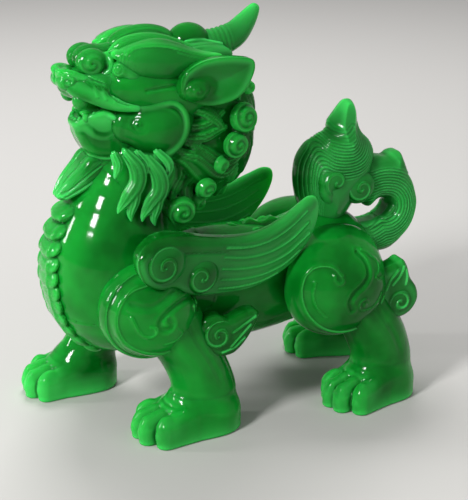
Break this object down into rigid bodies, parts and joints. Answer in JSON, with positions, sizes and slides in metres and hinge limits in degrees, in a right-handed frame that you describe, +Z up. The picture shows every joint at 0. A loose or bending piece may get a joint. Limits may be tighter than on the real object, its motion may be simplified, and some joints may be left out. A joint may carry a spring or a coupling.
{
  "type": "foo dog statue",
  "caption": "Free-standing winged guardian lion figurine with one horn, an open mouth and a looped flame tail, standing on four flat-soled paws.",
  "frame": {"origin": "centre of the bounding box in X and Y, on the plane under the four paws", "axes": "+Z up, -Y the way the statue faces, +X its own left side"},
  "size_m": [0.0702, 0.1286, 0.1225],
  "materials": {
    "jade_body": "polished translucent jade-green resin",
    "jade_detail": "polished translucent jade-green resin, carved in relief",
    "jade_thin": "polished translucent jade-green resin, lighter where it is thin"
  },
  "bodies": {
    "root": {"chest_plates": "jade_detail", "chin": "jade_body", "chin_beard": "jade_thin", "forehead_crest": "jade_detail", "horn": "jade_thin", "horn_base": "jade_thin", "left_brow": "jade_detail", "left_cheek": "jade_body", "left_cheek_locks": "jade_thin", "left_ear": "jade_thin", "left_elbow_flame": "jade_thin", "left_eye": "jade_detail", "left_foreleg": "jade_body", "left_front_paw": "jade_body", "left_haunch": "jade_body", "left_hind_leg": "jade_body", "left_hind_paw": "jade_body", "left_hock_tuft": "jade_thin", "left_mane_curls": "jade_detail", "left_shoulder": "jade_body", "left_tail_scrolls": "jade_thin", "left_wing": "jade_thin", "left_wing_scrolls": "jade_thin", "lower_jaw": "jade_body", "lower_teeth": "jade_detail", "mane": "jade_detail", "neck": "jade_body", "nose": "jade_detail", "nostrils": "jade_detail", "right_brow": "jade_detail", "right_cheek": "jade_body", "right_cheek_locks": "jade_thin", "right_ear": "jade_thin", "right_elbow_flame": "jade_thin", "right_eye": "jade_detail", "right_foreleg": "jade_body", "right_front_paw": "jade_body", "right_haunch": "jade_body", "right_hind_leg": "jade_body", "right_hind_paw": "jade_body", "right_hock_tuft": "jade_thin", "right_mane_curls": "jade_detail", "right_shoulder": "jade_body", "right_tail_scrolls": "jade_thin", "right_wing": "jade_thin", "right_wing_scrolls": "jade_thin", "skull": "jade_body", "spine_crest": "jade_detail", "tail_flame": "jade_thin", "tail_lock": "jade_thin", "tail_root": "jade_thin", "tongue": "jade_detail", "trunk": "jade_body", "upper_jaw": "jade_body", "upper_lip": "jade_detail", "upper_teeth": "jade_detail"}
  },
  "joints": []
}
